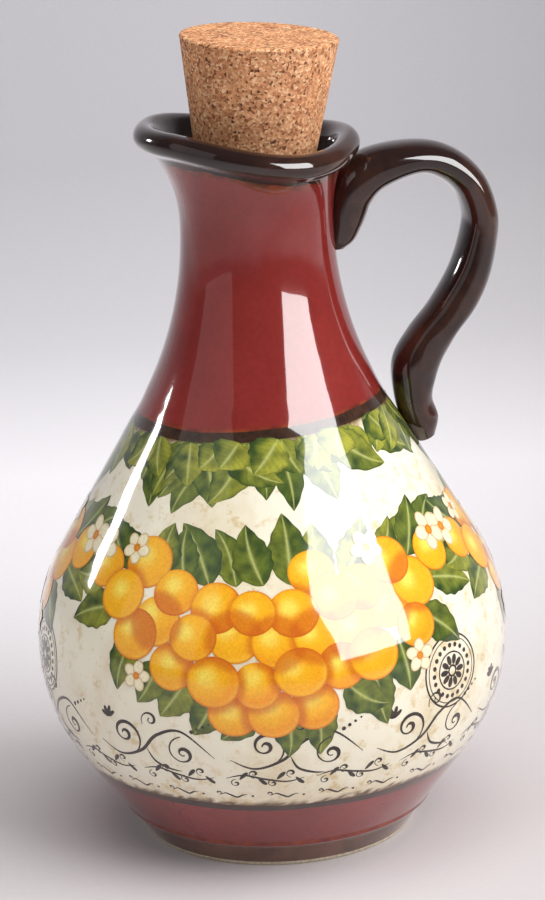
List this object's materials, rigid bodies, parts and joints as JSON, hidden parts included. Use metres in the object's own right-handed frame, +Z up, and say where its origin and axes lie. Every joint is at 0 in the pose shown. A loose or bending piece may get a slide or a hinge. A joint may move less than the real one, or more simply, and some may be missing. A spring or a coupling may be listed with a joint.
{
  "type": "oil jar",
  "caption": "Glazed stoneware oil jar with a bulbous belly, narrow neck, pouring spout, rolled rim and pulled strap handle, closed by a tapered cork stopper.",
  "frame": {"origin": "centre of the standing ring, on the table", "axes": "+Z up along the neck's axis, +X towards the handle, -X towards the spout"},
  "size_m": [0.1393, 0.1372, 0.2345],
  "materials": {
    "stoneware": "gloss glaze",
    "cork": "matt agglomerated cork"
  },
  "bodies": {
    "root": {"jug": "stoneware", "cork": "cork"}
  },
  "joints": []
}
